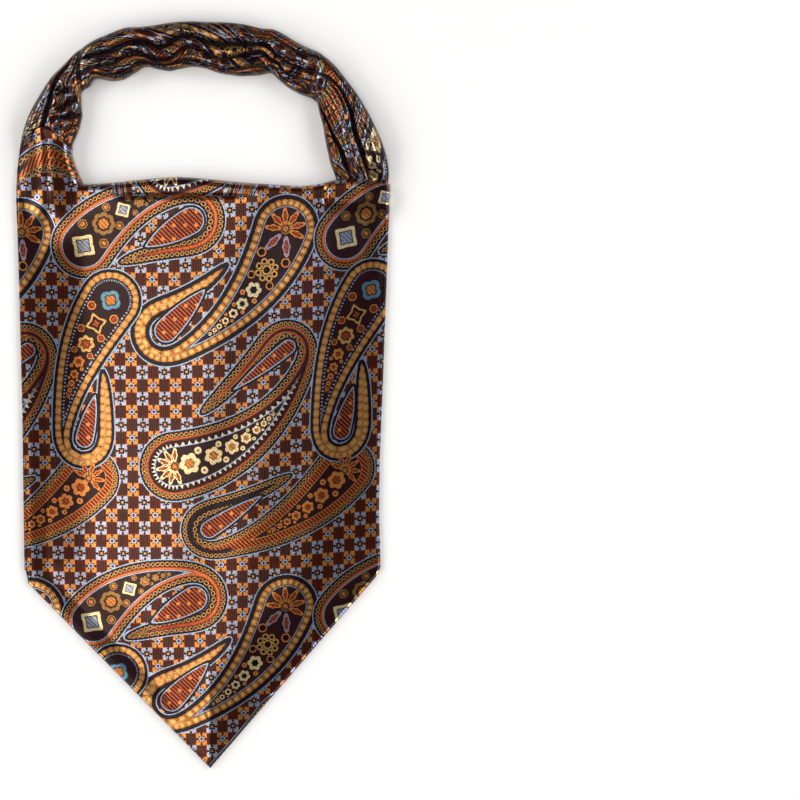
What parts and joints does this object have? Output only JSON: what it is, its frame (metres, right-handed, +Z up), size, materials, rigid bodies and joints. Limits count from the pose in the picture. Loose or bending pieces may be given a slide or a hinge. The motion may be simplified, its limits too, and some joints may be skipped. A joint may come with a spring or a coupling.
{
  "type": "silk cravat",
  "caption": "Woven silk ascot cravat laid flat: a wide pointed blade over a second one, and a pleated neckband that makes a loop above them.",
  "frame": {"origin": "middle of the cravat's length and width, on the surface that it lies on", "axes": "+Y from the blades' point towards the neckband's loop, +X to the right across the blades seen from above, +Z up out of the surface"},
  "size_m": [0.1572, 0.3134, 0.0096],
  "materials": {
    "jacquard_silk": "woven satin jacquard with a soft sheen"
  },
  "bodies": {
    "root": {"back_blade": "jacquard_silk", "front_blade": "jacquard_silk", "left_shoulder": "jacquard_silk", "neckband_left": "jacquard_silk", "neckband_top": "jacquard_silk", "neckband_right": "jacquard_silk"}
  },
  "joints": []
}
